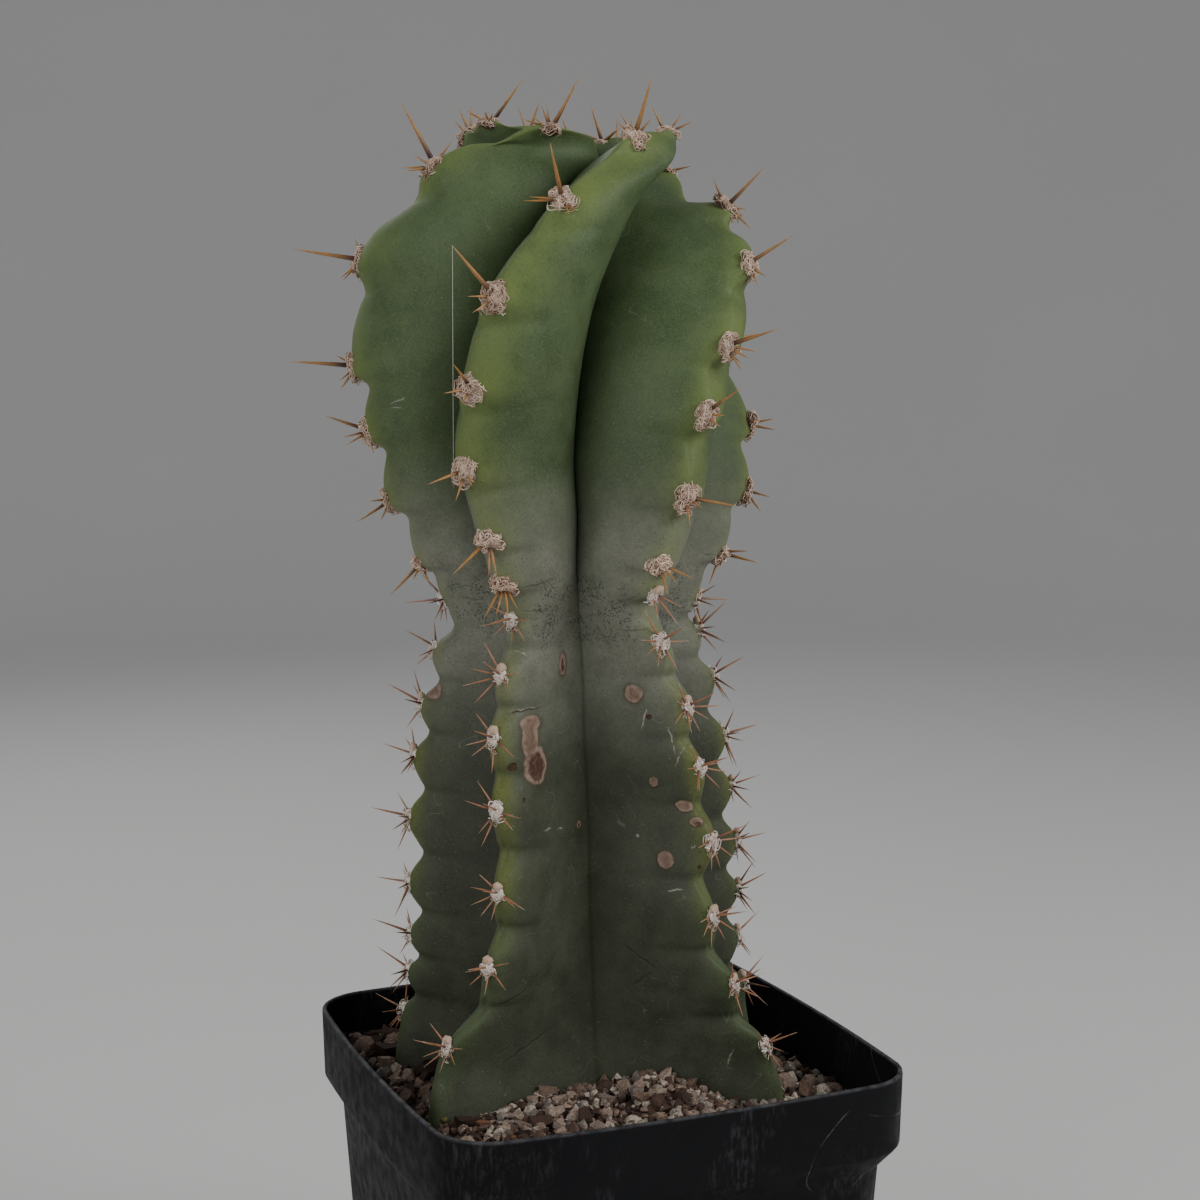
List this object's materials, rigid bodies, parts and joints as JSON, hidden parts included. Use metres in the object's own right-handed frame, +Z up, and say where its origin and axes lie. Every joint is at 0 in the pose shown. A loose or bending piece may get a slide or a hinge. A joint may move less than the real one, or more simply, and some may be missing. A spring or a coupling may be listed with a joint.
{
  "type": "potted spiral cactus",
  "caption": "Columnar spiral cactus with deep twisting ribs, wool pads and spines, standing in gravelly mix in a square black plastic nursery pot.",
  "frame": {"origin": "middle of the flat underside of the pot", "axes": "+Z up along the plant; X and Y along the pot's flat sides, with the wide front furrow of the stem facing about 22 degrees from -Y towards -X"},
  "size_m": [0.1128, 0.1112, 0.2975],
  "materials": {
    "pot_plastic": "black injection-moulded plastic, satin, scuffed and scratched grey along the collar",
    "grit": "dry mixed gravel of pinkish tan, brown, white and grey grains",
    "stem_skin": "living green skin with a matt bluish bloom, yellow-green along the crests, small corky scars"
  },
  "bodies": {
    "root": {"pot": "pot_plastic", "grit": "grit", "stem": "stem_skin"}
  },
  "joints": []
}
